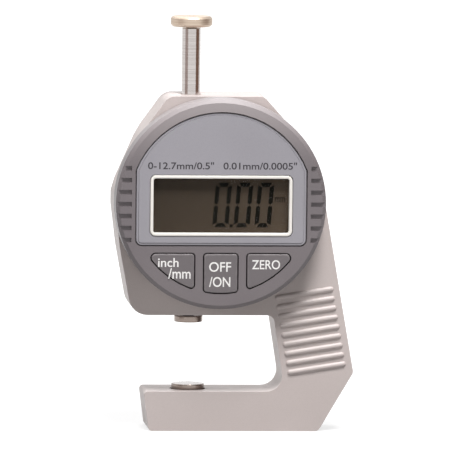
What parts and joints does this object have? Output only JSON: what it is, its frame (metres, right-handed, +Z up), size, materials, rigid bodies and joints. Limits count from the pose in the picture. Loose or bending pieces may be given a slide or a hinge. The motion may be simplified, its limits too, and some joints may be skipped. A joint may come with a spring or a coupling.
{
  "type": "digital thickness gauge",
  "caption": "Pocket digital thickness gauge: C-shaped body with a round display housing, a lifting spindle with a flat contact tip, and a flat lower anvil.",
  "frame": {"origin": "on the flat foot, right below the spindle's axis", "axes": "+X to the right along the dial's face, +Y from the face towards the back, +Z up along the spindle"},
  "size_m": [0.0507, 0.0212, 0.0867],
  "materials": {
    "body_grey": "light warm grey, fine satin",
    "housing_grey": "mid grey, satin",
    "plate_grey": "light blue-grey, satin",
    "key_grey": "mid grey, satin, with white legends",
    "trim_white": "white",
    "pane": "clear",
    "lcd": "dark olive liquid-crystal panel",
    "polished_steel": "polished steel",
    "fixing_steel": "plain steel",
    "nickel": "satin nickel",
    "brass": "plain brass",
    "laminate": "green board laminate",
    "black_plastic": "black, matt",
    "connector_rubber": "dark grey rubber"
  },
  "bodies": {
    "gauge_body": {"frame": "body_grey", "anvil": "polished_steel", "upper_guide_bush": "brass", "lower_guide_bush": "brass", "guide_pin": "fixing_steel", "brake_leaf": "fixing_steel", "brake_screw": "fixing_steel", "dial_housing": "housing_grey", "face_plate": "plate_grey", "display_trim": "trim_white", "display_pane": "pane", "lcd_panel": "lcd", "upper_strip_connector": "connector_rubber", "lower_strip_connector": "connector_rubber", "circuit_board": "laminate", "controller_chip": "black_plastic", "switch_units": "black_plastic", "switch_power": "black_plastic", "switch_zero": "black_plastic", "board_screw_1": "fixing_steel", "board_screw_2": "fixing_steel", "board_screw_3": "fixing_steel", "housing_screw_1": "fixing_steel", "housing_screw_2": "fixing_steel", "housing_screw_3": "fixing_steel", "housing_screw_4": "fixing_steel", "button_cell": "fixing_steel", "battery_holder": "black_plastic", "negative_contact": "brass", "positive_contact": "brass"},
    "spindle_unit": {"spindle": "polished_steel", "contact_tip": "polished_steel", "lifting_knob": "nickel", "scale_carrier": "black_plastic", "carrier_clamp_screw": "fixing_steel", "scale_strip": "laminate"},
    "units_key": {"key_units": "key_grey"},
    "power_key": {"key_power": "key_grey"},
    "zero_key": {"key_zero": "key_grey"},
    "cap": {"battery_cap": "body_grey"}
  },
  "joints": [
    {"name": "spindle_slide", "type": "slide", "parent": "gauge_body", "child": "spindle_unit", "axis": [0, 0, -1], "range_m": [0, 0.0127]},
    {"name": "units_key_press", "type": "slide", "parent": "gauge_body", "child": "units_key", "axis": [0, 1, 0], "range_m": [0, 0.0005], "stiffness_N_per_m": 400, "springref_m": -0.0005},
    {"name": "power_key_press", "type": "slide", "parent": "gauge_body", "child": "power_key", "axis": [0, 1, 0], "range_m": [0, 0.0005], "stiffness_N_per_m": 400, "springref_m": -0.0005},
    {"name": "zero_key_press", "type": "slide", "parent": "gauge_body", "child": "zero_key", "axis": [0, 1, 0], "range_m": [0, 0.0005], "stiffness_N_per_m": 400, "springref_m": -0.0005},
    {"name": "battery_cap_turn", "type": "hinge", "parent": "gauge_body", "child": "cap", "pos_m": [0.0145, 0.007, 0.0483], "axis": [0, 1, 0], "range_deg": [0, 60]}
  ]
}
